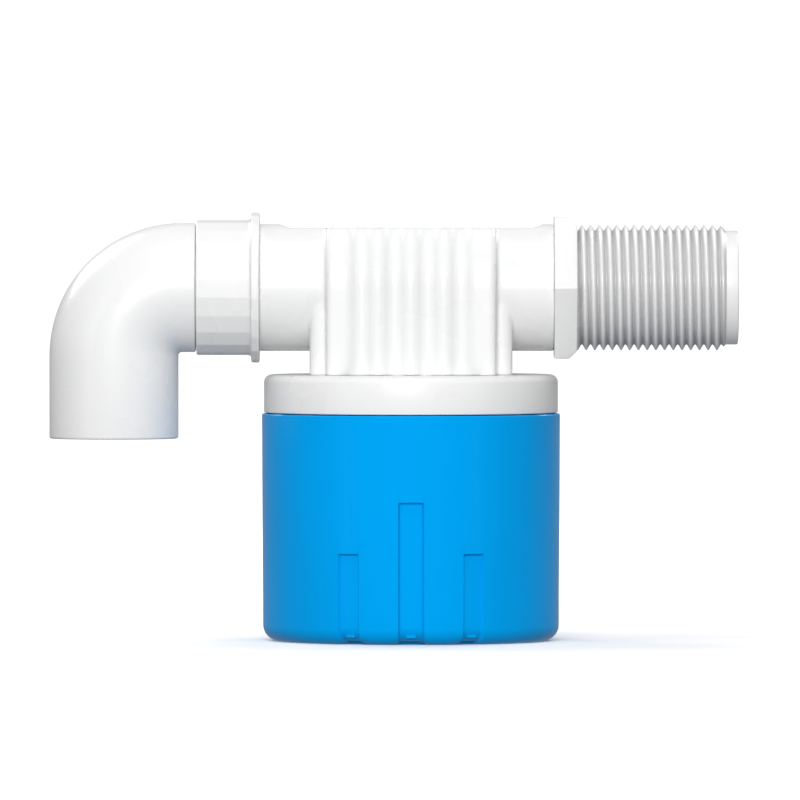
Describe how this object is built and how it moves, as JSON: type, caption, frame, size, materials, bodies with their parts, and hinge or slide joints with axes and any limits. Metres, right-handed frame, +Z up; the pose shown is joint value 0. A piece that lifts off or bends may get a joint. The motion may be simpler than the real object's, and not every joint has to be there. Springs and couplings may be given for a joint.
{
  "type": "float valve",
  "caption": "Side-inlet tank float valve: ribbed pipe body over a twist-off float cup, threaded inlet, swivelling down-turned outlet elbow.",
  "frame": {"origin": "centre of the hexagon's outer face on the pipe's axis, where the inlet thread starts (the shoulder that meets the tank wall)", "axes": "+X along the pipe's axis, out of the inlet thread; +Z up, out of the float cup; -Y is the front"},
  "size_m": [0.1824, 0.079, 0.1134],
  "materials": {
    "white_plastic": "gloss",
    "blue_plastic": "gloss",
    "seal_rubber": "matte",
    "stainless_steel": "satin",
    "jet_brass": "satin",
    "float_plastic": "matte",
    "strainer_plastic": "matte"
  },
  "bodies": {
    "valve": {"valve_body": "white_plastic", "inlet_nipple": "white_plastic", "nipple_o_ring": "seal_rubber", "inlet_strainer": "strainer_plastic", "outlet_collar": "white_plastic", "lid": "white_plastic", "chamber_cover": "white_plastic", "cover_o_ring": "seal_rubber", "cover_screws": "stainless_steel", "pilot_nozzle": "jet_brass", "lever_pin": "stainless_steel", "piston_spring": "stainless_steel"},
    "elbow": {"outlet_elbow": "white_plastic", "elbow_o_ring": "seal_rubber"},
    "piston": {"piston": "white_plastic", "piston_ring": "seal_rubber", "seat_seal": "seal_rubber", "seal_washer": "stainless_steel", "seal_screw": "stainless_steel"},
    "lever": {"pilot_lever": "white_plastic", "pilot_pad": "seal_rubber"},
    "float": {"float_shell": "float_plastic", "float_cap": "float_plastic", "float_pin": "stainless_steel"},
    "cup": {"cup": "blue_plastic"}
  },
  "joints": [
    {"name": "elbow_swivel", "type": "hinge", "parent": "valve", "child": "elbow", "pos_m": [-0.1009, 0, 0], "axis": [1, 0, 0], "continuous": true},
    {"name": "piston_slide", "type": "slide", "parent": "valve", "child": "piston", "axis": [0, 0, 1], "range_m": [-0.005, 0], "stiffness_N_per_m": 150, "springref_m": 0.01, "deforming": ["piston_spring"]},
    {"name": "float_slide", "type": "slide", "parent": "valve", "child": "float", "axis": [0, 0, 1], "range_m": [0, 0.006]},
    {"name": "lever_hinge", "type": "hinge", "parent": "valve", "child": "lever", "pos_m": [-0.0249, 0, -0.042], "axis": [0, 1, 0], "range_deg": [0, 17.8]},
    {"name": "cup_turn", "type": "hinge", "parent": "valve", "child": "cup", "pos_m": [-0.0439, 0, -0.06], "axis": [0, 0, 1], "range_deg": [0, 60]}
  ],
  "couplings": [
    {"joint": "lever_hinge", "follows": "float_slide", "rad_per_m": 50.978}
  ]
}
